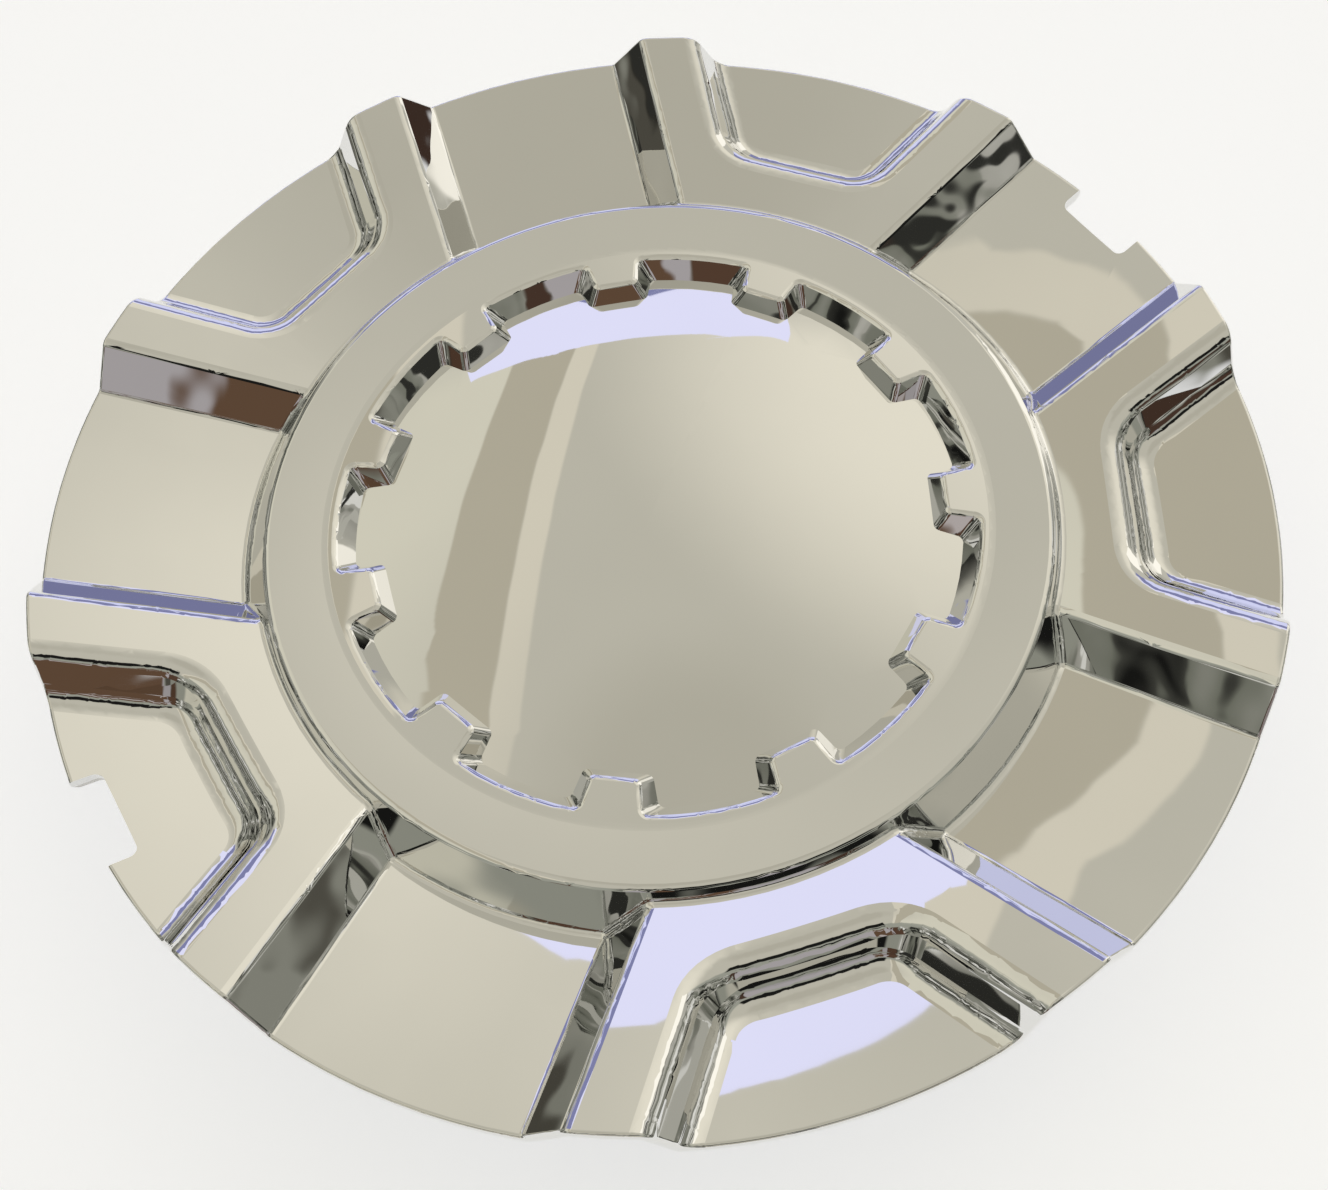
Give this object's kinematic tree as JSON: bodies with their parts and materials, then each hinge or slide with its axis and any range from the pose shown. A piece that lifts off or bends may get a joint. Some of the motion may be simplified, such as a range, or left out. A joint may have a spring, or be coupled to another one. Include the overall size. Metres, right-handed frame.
{
  "type": "center cap",
  "caption": "Round chrome plated cap for the middle of a car wheel: sloped pads with pockets stand round a toothed ring and a shallow dome, and a collar of snap legs stands behind.",
  "frame": {"origin": "centre of the rim circle, at the height where the low floors between the pads reach the rim", "axes": "+Z along the cap's axis and out of its visible face, +X through the middle of one pad"},
  "size_m": [0.2106, 0.2102, 0.0446],
  "materials": {
    "chrome_plating": "bright chrome plating on moulded ABS"
  },
  "bodies": {
    "root": {"center_cap": "chrome_plating"}
  },
  "joints": []
}
